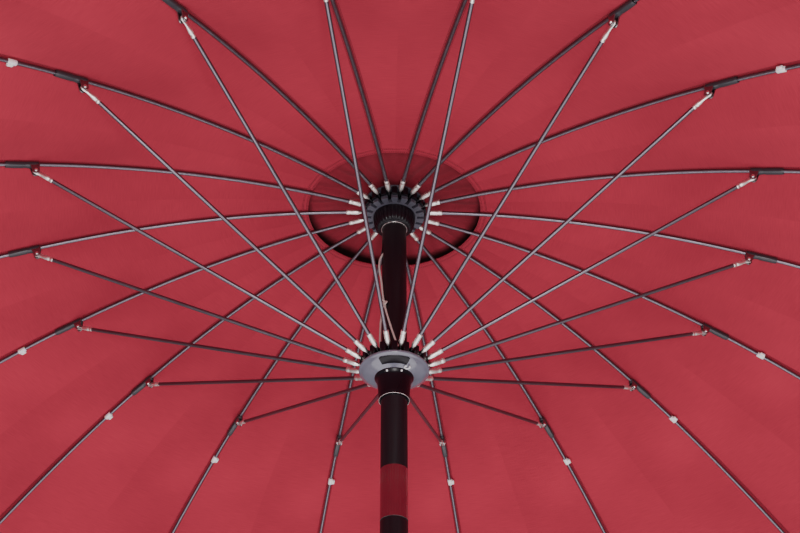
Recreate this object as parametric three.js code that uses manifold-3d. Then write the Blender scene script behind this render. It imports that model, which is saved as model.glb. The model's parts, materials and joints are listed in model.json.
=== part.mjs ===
// A round parasol on a weighted base. Thin glass-fibre ribs hang in the slots of a crown on top of
// the pole, and equally many struts push them open from a runner that slides on the pole.
// A lift cord climbs inside the pole from a winch drum, turns over a pulley and pulls the runner up.
// Units are millimetres, +Z is up, the ground is z = 0 and the pole stands on the Z axis.
import * as THREE from 'three';
import { mergeVertices } from 'three/addons/utils/BufferGeometryUtils.js';
import Module from 'manifold-3d';

const wasm = await Module();
wasm.setup();

// ---------------------------------------------------------------- driving dimensions
const RIBS = 18;
const CROWN_Z = 2300;            // height of the rib pivots
const PIVOT_R = 44;              // radius of the circle of rib pivots, and of strut pivots
const RUNNER_DROP = 299;         // strut pivots below the rib pivots, open
const RIB_SPAN = 1190;           // horizontal reach of a rib beyond its pivot
const BEND_SPAN = 605;           // inner stretch of a rib, bent to an even curve
const BEND_R = 1630;             // radius of that curve
const ROD_R = 2.9;               // glass-fibre rod
const ROD_SIDES = 6;
const JOINT_X = 512.4;           // where the strut bracket sits on the rib
const PIN_DROP = 13;             // strut pin below the rib's centre line
const POLE_R = 19;
const POLE_WALL = 1.5;
const POLE_BORE = POLE_R - POLE_WALL;
const GAP = 0.3;                 // clearance between pieces that touch
const SLOT_W = 9;                // slots of crown and runner
const SLOT_INNER_R = 36;
const VENT_R = 137;              // hole in the top of the canopy
const CLOTH = 1.6;               // thickness of the cloth solids
const BASE_R = 250;
const TUBE_R = 24;               // base tube
const TUBE_TOP = 420;
const SLEEVE_LOW = 1747;         // polished joint sleeve of the pole
const SLEEVE_HIGH = 1827;
const WINCH_Z = 945;
const PULLEY_Z = 2224;
const PULLEY_GROOVE_R = 7.4;
const CORD_R = 1.5;
const CORD_SIDE = THREE.MathUtils.degToRad(195);   // side of the pole where the cord comes out
const KNOB_Z = 330;              // clamping knob of the base tube

const RUNNER_Z = CROWN_Z - RUNNER_DROP;

// ---------------------------------------------------------------- solids
function solid(geometry) {
  const bare = geometry.clone();
  bare.deleteAttribute('normal');
  bare.deleteAttribute('uv');
  const merged = mergeVertices(bare, 1e-4);
  return new wasm.Manifold(new wasm.Mesh({
    numProp: 3,
    vertProperties: Float32Array.from(merged.attributes.position.array),
    triVerts: Uint32Array.from(merged.index.array),
  }));
}

function geometryOf(manifold) {
  const mesh = manifold.getMesh();
  const geometry = new THREE.BufferGeometry();
  geometry.setAttribute('position', new THREE.BufferAttribute(Float32Array.from(mesh.vertProperties), 3));
  geometry.setIndex(new THREE.BufferAttribute(Uint32Array.from(mesh.triVerts), 1));
  geometry.computeVertexNormals();
  return geometry;
}

function unite(geometries) {
  return geometryOf(geometries.map(solid).reduce((whole, part) => whole.add(part)));
}

function cut(geometry, tools) {
  return geometryOf(tools.map(solid).reduce((whole, tool) => whole.subtract(tool), solid(geometry)));
}

// A turned shape about Z from [radius, z] points, given from the bottom up along the outside.
function turned(points, sides, start = 0) {
  const profile = points.map(([r, z]) => new THREE.Vector2(r, z));
  const geometry = new THREE.LatheGeometry(profile, sides, start);
  geometry.rotateX(Math.PI / 2);
  return geometry;
}

// A turned tube: outline and bore close on each other.
function tube(inner, outer, low, high, sides = 24) {
  return turned([[inner, low], [outer, low], [outer, high], [inner, high], [inner, low]], sides);
}

// A round bar along a unit axis, from one distance to another, and placed at an origin.
function bar(radius, from, to, axis, origin = [0, 0, 0], sides = 12, radiusEnd = radius) {
  const geometry = new THREE.CylinderGeometry(radiusEnd, radius, to - from, sides);
  geometry.translate(0, (from + to) / 2, 0);
  const turn = new THREE.Quaternion().setFromUnitVectors(
    new THREE.Vector3(0, 1, 0), new THREE.Vector3(...axis).normalize());
  geometry.applyQuaternion(turn);
  geometry.translate(...origin);
  return geometry;
}

function box(x, y, z) {
  const geometry = new THREE.BoxGeometry(x[1] - x[0], y[1] - y[0], z[1] - z[0]);
  geometry.translate((x[0] + x[1]) / 2, (y[0] + y[1]) / 2, (z[0] + z[1]) / 2);
  return geometry;
}

// A flat outline in the XZ plane with a thickness in Y, from -thick/2 to thick/2.
function plate(shape, thick, curveSegments = 3) {
  const geometry = new THREE.ExtrudeGeometry(shape, { depth: thick, bevelEnabled: false, curveSegments });
  geometry.rotateX(Math.PI / 2);
  geometry.translate(0, thick / 2, 0);
  return geometry;
}

function circle(radius, sides) {
  const shape = new THREE.Shape();
  for (let i = 0; i < sides; i++) {
    const angle = (2 * Math.PI * i) / sides;
    const point = [radius * Math.cos(angle), radius * Math.sin(angle)];
    if (i === 0) shape.moveTo(...point);
    else shape.lineTo(...point);
  }
  shape.closePath();
  return shape;
}

function along(path, radius, sides, steps) {
  return new THREE.ExtrudeGeometry(circle(radius, sides), { steps, extrudePath: path, bevelEnabled: false });
}

// ---------------------------------------------------------------- rib curve
// Centre line of a rib in its own frame: X runs outward from the pivot, Z is up. The inner stretch
// has an even bend, and beyond it the bend eases to nothing at the tip.
function ribHeight(x) {
  const inner = Math.min(x, BEND_SPAN);
  const outer = Math.max(x - BEND_SPAN, 0);
  const easing = outer ** 2 / 2 - outer ** 3 / (6 * (RIB_SPAN - BEND_SPAN));
  return -(inner ** 2 / 2 + BEND_SPAN * outer + easing) / BEND_R;
}

function ribSlope(x) {
  const inner = Math.min(x, BEND_SPAN);
  const outer = Math.max(x - BEND_SPAN, 0);
  return -(inner + outer - outer ** 2 / (2 * (RIB_SPAN - BEND_SPAN))) / BEND_R;
}

class RibCurve extends THREE.Curve {
  constructor(from, to) {
    super();
    this.from = from;
    this.to = to;
  }

  getPoint(t, target = new THREE.Vector3()) {
    const x = this.from + (this.to - this.from) * t;
    return target.set(x, 0, ribHeight(x));
  }
}

const jointTilt = Math.atan(ribSlope(JOINT_X));
const PIN_X = JOINT_X + PIN_DROP * Math.sin(jointTilt);
const PIN_Z = ribHeight(JOINT_X) - PIN_DROP * Math.cos(jointTilt);
const STRUT_LENGTH = Math.hypot(PIN_X, RUNNER_DROP + PIN_Z);
const STRUT_TILT = Math.atan2(RUNNER_DROP + PIN_Z, PIN_X);

// ---------------------------------------------------------------- ribs and struts
const EYE_R = 4.6;
const BLADE_THICK = 4.4;
const FERRULE_R = 4;
const FERRULE_END = 32.5;

// The flat eye and the crimped ferrule that close the inner end of a rib or strut.
function innerEnd(holeR) {
  const blade = new THREE.Shape();
  blade.moveTo(10, 3);
  blade.lineTo(0, EYE_R);
  blade.absarc(0, 0, EYE_R, Math.PI / 2, (3 * Math.PI) / 2, false);
  blade.lineTo(10, -3);
  blade.closePath();
  const hole = new THREE.Path();
  hole.absarc(0, 0, holeR, 0, 2 * Math.PI, true);
  blade.holes.push(hole);
  const taper = bar(BLADE_THICK / 2, 5, 11, [1, 0, 0], [0, 0, 0], ROD_SIDES, FERRULE_R);
  const barrel = bar(FERRULE_R, 11, FERRULE_END, [1, 0, 0], [0, 0, 0], ROD_SIDES);
  return [plate(blade, BLADE_THICK), unite([taper, barrel])];
}

// The moulded bracket that is clipped on a rib, with two ears and the strut's pin between them.
const EAR_INNER = 2.6;
const EAR_OUTER = 4.8;

function bracket() {
  const ear = new THREE.Shape();
  ear.moveTo(-5.5, 0);
  ear.lineTo(-5.5, -PIN_DROP);
  ear.absarc(0, -PIN_DROP, 5.5, Math.PI, 2 * Math.PI, false);
  ear.lineTo(5.5, 0);
  ear.closePath();
  const ears = [-1, 1].map((side) => {
    const cheek = plate(ear, EAR_OUTER - EAR_INNER);
    cheek.translate(0, (side * (EAR_INNER + EAR_OUTER)) / 2, 0);
    return cheek;
  });
  const saddle = box([-7, 42], [-EAR_OUTER, EAR_OUTER], [-5, ROD_R + 0.4]);
  const pin = bar(1.5, -EAR_OUTER - 0.8, EAR_OUTER + 0.8, [0, 1, 0], [0, 0, -PIN_DROP], ROD_SIDES);
  const whole = unite([...ears, saddle, pin]);
  whole.rotateY(-jointTilt);
  whole.translate(JOINT_X, 0, ribHeight(JOINT_X));
  return whole;
}

function ribGeometry() {
  const rod = along(new RibCurve(20, RIB_SPAN), ROD_R, ROD_SIDES, 10);
  return unite([...innerEnd(1.7), rod, bracket()]);
}

// A strut in its own frame: X runs from the runner pivot to the pin of the rib's bracket.
function strutGeometry() {
  const eye = new THREE.Shape();
  eye.moveTo(STRUT_LENGTH - 13, 3);
  eye.lineTo(STRUT_LENGTH - 13, -3);
  eye.lineTo(STRUT_LENGTH, -EYE_R);
  eye.absarc(STRUT_LENGTH, 0, EYE_R, -Math.PI / 2, Math.PI / 2, false);
  eye.closePath();
  const hole = new THREE.Path();
  hole.absarc(STRUT_LENGTH, 0, 1.9, 0, 2 * Math.PI, true);
  eye.holes.push(hole);
  const rod = bar(ROD_R, 20, STRUT_LENGTH - 14, [1, 0, 0], [0, 0, 0], ROD_SIDES);
  const ferrule = bar(3.5, STRUT_LENGTH - 28, STRUT_LENGTH - 11.5, [1, 0, 0], [0, 0, 0], ROD_SIDES);
  return unite([...innerEnd(1.7), rod, ferrule, plate(eye, BLADE_THICK)]);
}

// ---------------------------------------------------------------- crown
const CROWN_R = 51;

function slotTools(low, high) {
  return Array.from({ length: RIBS }, (_, i) => {
    const tool = box([SLOT_INNER_R, CROWN_R + 5], [-SLOT_W / 2, SLOT_W / 2], [low, high]);
    tool.rotateZ(ribAngle(i));
    return tool;
  });
}

function crownGeometry() {
  const collarR = 33;
  const body = turned([
    [POLE_R + GAP, CROWN_Z - 37], [22, CROWN_Z - 37], [24, CROWN_Z - 35.5], [28.5, CROWN_Z - 31],
    [31.5, CROWN_Z - 24], [collarR, CROWN_Z - 15], [collarR, CROWN_Z - 11], [CROWN_R - 2, CROWN_Z - 11],
    [CROWN_R, CROWN_Z - 9], [CROWN_R, CROWN_Z + 11], [POLE_R + GAP, CROWN_Z + 11], [POLE_R + GAP, CROWN_Z - 37],
  ], 36);
  const groove = turned([
    [PIVOT_R - 2, CROWN_Z - 2], [PIVOT_R + 2, CROWN_Z - 2], [PIVOT_R + 2, CROWN_Z + 12],
    [PIVOT_R - 2, CROWN_Z + 12], [PIVOT_R - 2, CROWN_Z - 2],
  ], 36);
  return cut(body, [...slotTools(CROWN_Z - 60, CROWN_Z + 20), groove]);
}

function pivotWireGeometry() {
  const wire = new THREE.TorusGeometry(PIVOT_R, 1.2, 6, 36);
  wire.translate(0, 0, CROWN_Z);
  return wire;
}

function crownCapGeometry() {
  const low = CROWN_Z + 11 + GAP;
  return turned([
    [8.4, low], [CROWN_R - 1, low], [CROWN_R - 1, low + 3], [CROWN_R - 4, low + 5],
    [17, low + 5], [17, low + 15], [8.4, low + 15], [8.4, low],
  ], 24);
}

function finialGeometry() {
  const low = CROWN_Z + 14;
  const seat = CROWN_Z + 31.5;
  return turned([
    [0, low], [8, low], [8, seat], [27, seat], [27, seat + 4], [16, seat + 8], [12, seat + 16],
    [18, seat + 26], [21, seat + 38], [18, seat + 51], [9, seat + 61], [0, seat + 64],
  ], 20);
}

// ---------------------------------------------------------------- runner
function runnerGeometry() {
  const rimR = 51.5;
  const floor = RUNNER_Z - 6;
  const boreR = 21.2;
  const body = turned([
    [boreR, RUNNER_Z - 57], [22.6, RUNNER_Z - 57], [24, RUNNER_Z - 38], [26, RUNNER_Z - 25],
    [28, RUNNER_Z - 21], [38, RUNNER_Z - 16.5], [47, RUNNER_Z - 13], [rimR, RUNNER_Z - 9],
    [rimR, RUNNER_Z + 9], [49, RUNNER_Z + 11], [boreR, RUNNER_Z + 11], [boreR, RUNNER_Z - 57],
  ], 36);
  return cut(body, slotTools(floor, RUNNER_Z + 20));
}

function runnerLinerGeometry() {
  const low = RUNNER_Z - 60;
  return turned([
    [POLE_R + 0.6, low], [22.4, low], [22.4, low + 2.6], [20.9, low + 2.6], [20.9, RUNNER_Z + 10],
    [POLE_R + 0.6, RUNNER_Z + 10], [POLE_R + 0.6, low],
  ], 24);
}

// ---------------------------------------------------------------- pole
const sideways = [Math.cos(CORD_SIDE), Math.sin(CORD_SIDE), 0];
const acrossSide = [-Math.sin(CORD_SIDE), Math.cos(CORD_SIDE), 0];

function upperPoleGeometry() {
  const shell = tube(POLE_BORE, POLE_R, SLEEVE_HIGH + GAP, CROWN_Z + 10, 24);
  const slot = box([10, 25], [-3, 3], [PULLEY_Z - 34, PULLEY_Z + 12]);
  slot.rotateZ(CORD_SIDE);
  const pinHole = bar(2.4, -25, 25, acrossSide, [...pulleyCentre(), PULLEY_Z], 8);
  return cut(shell, [slot, pinHole]);
}

function lowerPoleGeometry() {
  const shell = tube(POLE_BORE, POLE_R, 24, SLEEVE_LOW - GAP, 24);
  const shaftHole = bar(5.6, 5, 25, [1, 0, 0], [0, 0, WINCH_Z], 12);
  return cut(shell, [shaftHole]);
}

function poleSleeveGeometry() {
  const spigotR = POLE_BORE - GAP;
  return turned([
    [14, SLEEVE_LOW - 70], [spigotR, SLEEVE_LOW - 70], [spigotR, SLEEVE_LOW], [POLE_R + 0.3, SLEEVE_LOW],
    [POLE_R + 0.3, SLEEVE_HIGH], [spigotR, SLEEVE_HIGH], [spigotR, SLEEVE_HIGH + 70],
    [14, SLEEVE_HIGH + 70], [14, SLEEVE_LOW - 70],
  ], 24);
}

// ---------------------------------------------------------------- lift cord, pulley and winch
const CORD_RUN_R = PULLEY_GROOVE_R + GAP + CORD_R;   // cord centre line round pulley and drum
const PULLEY_OFFSET = 3.5;

function pulleyCentre() {
  return [PULLEY_OFFSET * sideways[0], PULLEY_OFFSET * sideways[1]];
}

function pulleyGeometry() {
  const groove = PULLEY_GROOVE_R;
  const wheel = turned([
    [2.2, -3.6], [10, -3.6], [10, -2.8], [groove, -1.8], [groove, 1.8], [10, 2.8], [10, 3.6],
    [2.2, 3.6], [2.2, -3.6],
  ], 16);
  const turn = new THREE.Quaternion().setFromUnitVectors(
    new THREE.Vector3(0, 0, 1), new THREE.Vector3(...acrossSide));
  wheel.applyQuaternion(turn);
  wheel.translate(...pulleyCentre(), PULLEY_Z);
  return wheel;
}

function pulleyPinGeometry() {
  return bar(1.9, -18, 18, acrossSide, [...pulleyCentre(), PULLEY_Z], 8);
}

// Centre line of the cord from the pulley to the runner, chosen by hand:
// [distance from the pole axis, angle round the pole in degrees, height].
const CORD_ROUTE = [
  [21.6, 195, 2202], [24.2, 197, 2188], [23.4, 200, 2170], [21.7, 206, 2150], [21.4, 214, 2128],
  [21.4, 225, 2105], [21.4, 242, 2079], [21.4, 259, 2054], [22.6, 275, 2032], [26, 289, 2013.2],
];

function cordPath() {
  const points = [];
  for (let i = 0; i <= 6; i++) {
    const angle = Math.PI * (1 - i / 6);
    const reach = PULLEY_OFFSET + CORD_RUN_R * Math.cos(angle);
    const height = PULLEY_Z + CORD_RUN_R * Math.sin(angle);
    points.push(new THREE.Vector3(reach * sideways[0], reach * sideways[1], height));
  }
  const leaving = PULLEY_OFFSET + CORD_RUN_R + 1.2;
  points.push(new THREE.Vector3(leaving * sideways[0], leaving * sideways[1], PULLEY_Z - 9));
  for (const [radius, degrees, height] of CORD_ROUTE) {
    const angle = THREE.MathUtils.degToRad(degrees);
    points.push(new THREE.Vector3(radius * Math.cos(angle), radius * Math.sin(angle), height));
  }
  return new THREE.CatmullRomCurve3(points, false, 'centripetal');
}

function innerCordGeometry() {
  const top = new THREE.Vector3(
    (PULLEY_OFFSET - CORD_RUN_R) * sideways[0], (PULLEY_OFFSET - CORD_RUN_R) * sideways[1], PULLEY_Z - 2 * GAP);
  const bottom = new THREE.Vector3(0, CORD_RUN_R, WINCH_Z + GAP);
  const lead = new THREE.Vector3(0, CORD_RUN_R, WINCH_Z + 60);
  const arrive = new THREE.Vector3(top.x, top.y, PULLEY_Z - 60);
  return along(new THREE.CatmullRomCurve3([bottom, lead, arrive, top], false, 'centripetal'), CORD_R, 6, 24);
}

function drumGeometry() {
  const drum = turned([
    [0, -10.5], [12, -10.5], [12, -9], [PULLEY_GROOVE_R, -9], [PULLEY_GROOVE_R, 9], [12, 9], [12, 10.5],
    [5, 10.5], [5, 62], [0, 62],
  ], 16);
  drum.rotateY(Math.PI / 2);
  drum.translate(0, 0, WINCH_Z);
  return drum;
}

function winchHousingGeometry() {
  const outline = new THREE.Shape();
  outline.absarc(0, 0, 28, Math.PI / 2, (3 * Math.PI) / 2, false);
  outline.lineTo(48, -24);
  outline.absarc(48, 0, 24, -Math.PI / 2, Math.PI / 2, false);
  outline.closePath();
  const body = new THREE.ExtrudeGeometry(outline, {
    depth: 84, bevelEnabled: true, bevelThickness: 4, bevelSize: 4, bevelOffset: -4, bevelSegments: 2,
    curveSegments: 10,
  });
  body.translate(-4, 0, WINCH_Z - 42);
  const trimmed = cut(body, [box([52, 90], [-40, 40], [WINCH_Z - 60, WINCH_Z + 60])]);
  const bore = bar(POLE_R + GAP, -60, 60, [0, 0, 1], [0, 0, WINCH_Z], 24);
  return cut(trimmed, [bore, bar(5.6, 5, 70, [1, 0, 0], [0, 0, WINCH_Z], 12)]);
}

const CRANK_REACH = 88;

function crankArmGeometry() {
  const outline = new THREE.Shape();
  outline.absarc(0, 0, 14, 0, Math.PI, false);
  outline.lineTo(-9, -CRANK_REACH);
  outline.absarc(0, -CRANK_REACH, 9, Math.PI, 2 * Math.PI, false);
  outline.closePath();
  const arm = new THREE.ExtrudeGeometry(outline, { depth: 12, bevelEnabled: false, curveSegments: 8 });
  arm.rotateX(Math.PI / 2);
  arm.rotateZ(Math.PI / 2);
  arm.translate(54, 0, WINCH_Z);
  const lowered = cut(arm, [bar(5.3, 40, 62 + GAP, [1, 0, 0], [0, 0, WINCH_Z], 12)]);
  const stem = bar(4, 60, 96, [1, 0, 0], [0, 0, WINCH_Z - CRANK_REACH], 12);
  const head = bar(6.5, 94, 97, [1, 0, 0], [0, 0, WINCH_Z - CRANK_REACH], 12);
  return unite([lowered, stem, head]);
}

function crankKnobGeometry() {
  const knob = turned([
    [4.5, 0], [9, 0], [12, 6], [12.5, 15], [10.5, 24.5], [7, 25.5], [4.5, 25.5], [4.5, 0],
  ], 20);
  knob.rotateY(Math.PI / 2);
  knob.translate(67.2, 0, WINCH_Z - CRANK_REACH);
  return knob;
}

// ---------------------------------------------------------------- cloth
// The cloth lies on the ribs and is straight from rib to rib, so it is turned with one side to a gore.
// Its underside keeps clear of the brackets on the ribs.
const CLOTH_LIFT = ROD_R + 2;

function clothPoints(from, to, steps, lift) {
  return Array.from({ length: steps + 1 }, (_, i) => {
    const x = from + ((to - from) * i) / steps;
    const tilt = Math.atan(ribSlope(x));
    return [PIVOT_R + x - lift * Math.sin(tilt), CROWN_Z + ribHeight(x) + lift * Math.cos(tilt)];
  });
}

function canopyGeometry() {
  const from = VENT_R - PIVOT_R;
  const under = clothPoints(from, RIB_SPAN + 6, 11, CLOTH_LIFT);
  const over = clothPoints(from, RIB_SPAN + 6, 11, CLOTH_LIFT + CLOTH);
  return turned([...under, ...over.reverse(), under[0]], RIBS, ribAngle(0) + Math.PI / 2);
}

const VENT_CAP_R = 215;

function ventCapGeometry() {
  const top = CROWN_Z + 28;
  const rim = CROWN_Z + 8;
  return turned([
    [22, top], [60, top - 2.5], [130, top - 9], [VENT_CAP_R, rim], [VENT_CAP_R, rim + CLOTH],
    [130, top - 9 + CLOTH], [60, top - 2.5 + CLOTH], [22, top + CLOTH], [22, top],
  ], RIBS, ribAngle(0) + Math.PI / 2);
}

// ---------------------------------------------------------------- base
function baseWeightGeometry() {
  return turned([
    [0, 6], [BASE_R - 6, 6], [BASE_R, 12], [BASE_R, 34], [BASE_R - 8, 44], [BASE_R - 60, 55],
    [60, 68], [TUBE_R + GAP, 68], [TUBE_R + GAP, 20], [0, 20],
  ], 40);
}

function footRingGeometry() {
  return tube(BASE_R - 45, BASE_R - 15, 0, 6 - GAP, 40);
}

function baseTubeGeometry() {
  const flangeLow = 68 + GAP;
  const wall = turned([
    [22, 22], [TUBE_R, 22], [TUBE_R, flangeLow], [56, flangeLow], [56, flangeLow + 4], [TUBE_R + 4, flangeLow + 6],
    [TUBE_R, flangeLow + 12], [TUBE_R, TUBE_TOP], [22, TUBE_TOP], [22, 22],
  ], 32);
  const boss = bar(9, 22.6, 36, [0, -1, 0], [0, 0, KNOB_Z], 16);
  const stemHole = bar(4.4, 15, 60, [0, -1, 0], [0, 0, KNOB_Z], 12);
  return cut(unite([wall, boss]), [stemHole]);
}

function bushingGeometry() {
  const ring = turned([
    [POLE_R + GAP, 200], [22 - GAP, 200], [22 - GAP, TUBE_TOP + GAP], [27, TUBE_TOP + GAP],
    [27, TUBE_TOP + 4], [23, TUBE_TOP + 9], [POLE_R + GAP, TUBE_TOP + 9], [POLE_R + GAP, 200],
  ], 32);
  return cut(ring, [bar(4.6, 15, 30, [0, -1, 0], [0, 0, KNOB_Z], 12)]);
}

function baseKnobGeometry() {
  const lobes = new THREE.Shape();
  const count = 6;
  const steps = 36;
  for (let i = 0; i < steps; i++) {
    const angle = (2 * Math.PI * i) / steps;
    const radius = 19 + 3 * Math.cos(count * angle);
    const point = [radius * Math.cos(angle), radius * Math.sin(angle)];
    if (i === 0) lobes.moveTo(...point);
    else lobes.lineTo(...point);
  }
  lobes.closePath();
  const grip = plate(lobes, 18);
  grip.translate(0, -51, KNOB_Z);
  const stem = bar(4, POLE_R + GAP, 45, [0, -1, 0], [0, 0, KNOB_Z], 12);
  const shoulder = bar(10, 38, 44, [0, -1, 0], [0, 0, KNOB_Z], 16);
  return unite([grip, stem, shoulder]);
}

// ---------------------------------------------------------------- assembly
function ribAngle(i) {
  return (2 * Math.PI * (i + 0.5)) / RIBS - Math.PI / 2;
}

const finishes = {
  rod: [0x46474c, 0.42, 0.35],
  cloth: [0xa62c3c, 0.85, 0],
  crown: [0x2e2d31, 0.4, 0.2],
  runner: [0x2b2a30, 0.22, 0.2],
  pole: [0x2a2426, 0.38, 0.3],
  bright: [0xb9b6b4, 0.2, 1],
  cord: [0xd9cfc8, 0.9, 0],
  plastic: [0x1d1d1f, 0.5, 0],
  weight: [0x37363a, 0.75, 0],
  rubber: [0x17171a, 0.9, 0],
};

const umbrella = new THREE.Group();

function place(name, geometry, finish, parent = umbrella) {
  const [color, roughness, metalness] = finishes[finish];
  const mesh = new THREE.Mesh(geometry, new THREE.MeshStandardMaterial({ color, roughness, metalness }));
  mesh.name = name;
  parent.add(mesh);
  return mesh;
}

const rib = ribGeometry();
const strut = strutGeometry();
for (let i = 0; i < RIBS; i++) {
  const spoke = new THREE.Group();
  spoke.rotation.z = ribAngle(i);
  umbrella.add(spoke);
  const label = String(i + 1).padStart(2, '0');
  place(`rib_${label}`, rib, 'rod', spoke).position.set(PIVOT_R, 0, CROWN_Z);
  const brace = place(`strut_${label}`, strut, 'rod', spoke);
  brace.position.set(PIVOT_R, 0, RUNNER_Z);
  brace.rotation.y = -STRUT_TILT;
}

place('crown', crownGeometry(), 'crown');
place('crown_pivot_wire', pivotWireGeometry(), 'bright');
place('crown_cap', crownCapGeometry(), 'crown');
place('finial', finialGeometry(), 'crown');
place('runner', runnerGeometry(), 'runner');
place('runner_liner', runnerLinerGeometry(), 'runner');
place('upper_pole', upperPoleGeometry(), 'pole');
place('pole_sleeve', poleSleeveGeometry(), 'bright');
place('lower_pole', lowerPoleGeometry(), 'pole');
place('cord_pulley', pulleyGeometry(), 'plastic');
place('pulley_pin', pulleyPinGeometry(), 'bright');
place('lift_cord', along(cordPath(), CORD_R, 6, 44), 'cord');
place('lift_cord_inner', innerCordGeometry(), 'cord');
place('winch_housing', winchHousingGeometry(), 'plastic');
place('winch_drum', drumGeometry(), 'plastic');
place('crank_arm', crankArmGeometry(), 'plastic');
place('crank_knob', crankKnobGeometry(), 'plastic');
place('canopy', canopyGeometry(), 'cloth');
place('vent_cap', ventCapGeometry(), 'cloth');
place('base_weight', baseWeightGeometry(), 'weight');
place('base_foot_ring', footRingGeometry(), 'rubber');
place('base_tube', baseTubeGeometry(), 'pole');
place('base_bushing', bushingGeometry(), 'plastic');
place('base_knob', baseKnobGeometry(), 'plastic');

export default umbrella;
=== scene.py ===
"""Looks of the round parasol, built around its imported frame. +Z is up and the pole stands on the Z axis.
Lengths are in metres, and the tables of turned and drawn outlines are in millimetres. Ribs, struts and
cloth are built once in a frame of their own, where X runs outward from the pole through the middle of a
rib, and each copy is turned about Z into place."""

import json
import math

import bmesh
import bpy
from mathutils import Matrix, Vector, noise


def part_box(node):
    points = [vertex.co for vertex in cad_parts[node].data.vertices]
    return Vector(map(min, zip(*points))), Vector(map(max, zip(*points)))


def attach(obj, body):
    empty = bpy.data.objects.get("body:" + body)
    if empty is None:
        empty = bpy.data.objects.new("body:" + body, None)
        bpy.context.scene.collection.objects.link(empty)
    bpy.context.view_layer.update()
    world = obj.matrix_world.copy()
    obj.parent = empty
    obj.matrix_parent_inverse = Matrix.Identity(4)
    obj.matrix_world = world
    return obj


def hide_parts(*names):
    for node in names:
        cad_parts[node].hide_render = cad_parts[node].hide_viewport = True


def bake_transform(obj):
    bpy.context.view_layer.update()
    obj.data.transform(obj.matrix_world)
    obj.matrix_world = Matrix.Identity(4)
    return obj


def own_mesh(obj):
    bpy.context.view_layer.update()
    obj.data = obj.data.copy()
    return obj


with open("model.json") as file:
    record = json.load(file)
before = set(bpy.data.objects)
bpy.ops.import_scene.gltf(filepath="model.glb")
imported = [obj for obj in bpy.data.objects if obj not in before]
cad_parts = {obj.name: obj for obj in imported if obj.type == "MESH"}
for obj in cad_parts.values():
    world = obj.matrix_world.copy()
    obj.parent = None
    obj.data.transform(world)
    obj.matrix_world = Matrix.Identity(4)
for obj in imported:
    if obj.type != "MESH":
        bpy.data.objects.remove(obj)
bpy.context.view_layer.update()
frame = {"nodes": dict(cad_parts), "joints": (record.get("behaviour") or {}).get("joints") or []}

MM = 0.001
RIBS = sum(1 for name in frame["nodes"] if name.startswith("rib_"))
HALF_GORE = math.pi / RIBS
JOINTS = {joint["name"]: joint for joint in frame["joints"]}


def joint_reach(name):
    x, y, _ = JOINTS[name]["pos_m"]
    return math.hypot(x, y)


PIVOT_R = joint_reach("rib_01_hinge")
CROWN_Z = JOINTS["rib_01_hinge"]["pos_m"][2]
PIN_R = joint_reach("strut_01_hinge")
PIN_Z = JOINTS["strut_01_hinge"]["pos_m"][2]
RUNNER_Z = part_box("runner")[1].z - 11 * MM

# The rib's centre line: an even bend near the crown that eases to nothing at the tip.
RIB_SPAN = 1190 * MM
BEND_SPAN = 605 * MM
BEND_R = 1630 * MM
ROD_R = 2.9 * MM
JOINT_X = 512.4 * MM


def rib_height(x):
    inner = min(x, BEND_SPAN)
    outer = max(x - BEND_SPAN, 0)
    easing = outer ** 2 / 2 - outer ** 3 / (6 * (RIB_SPAN - BEND_SPAN))
    return -(inner ** 2 / 2 + BEND_SPAN * outer + easing) / BEND_R


def rib_slope(x):
    inner = min(x, BEND_SPAN)
    outer = max(x - BEND_SPAN, 0)
    return -(inner + outer - outer ** 2 / (2 * (RIB_SPAN - BEND_SPAN))) / BEND_R


def rib_angle(i):
    return 2 * math.pi * (i + 0.5) / RIBS - math.pi / 2


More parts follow.
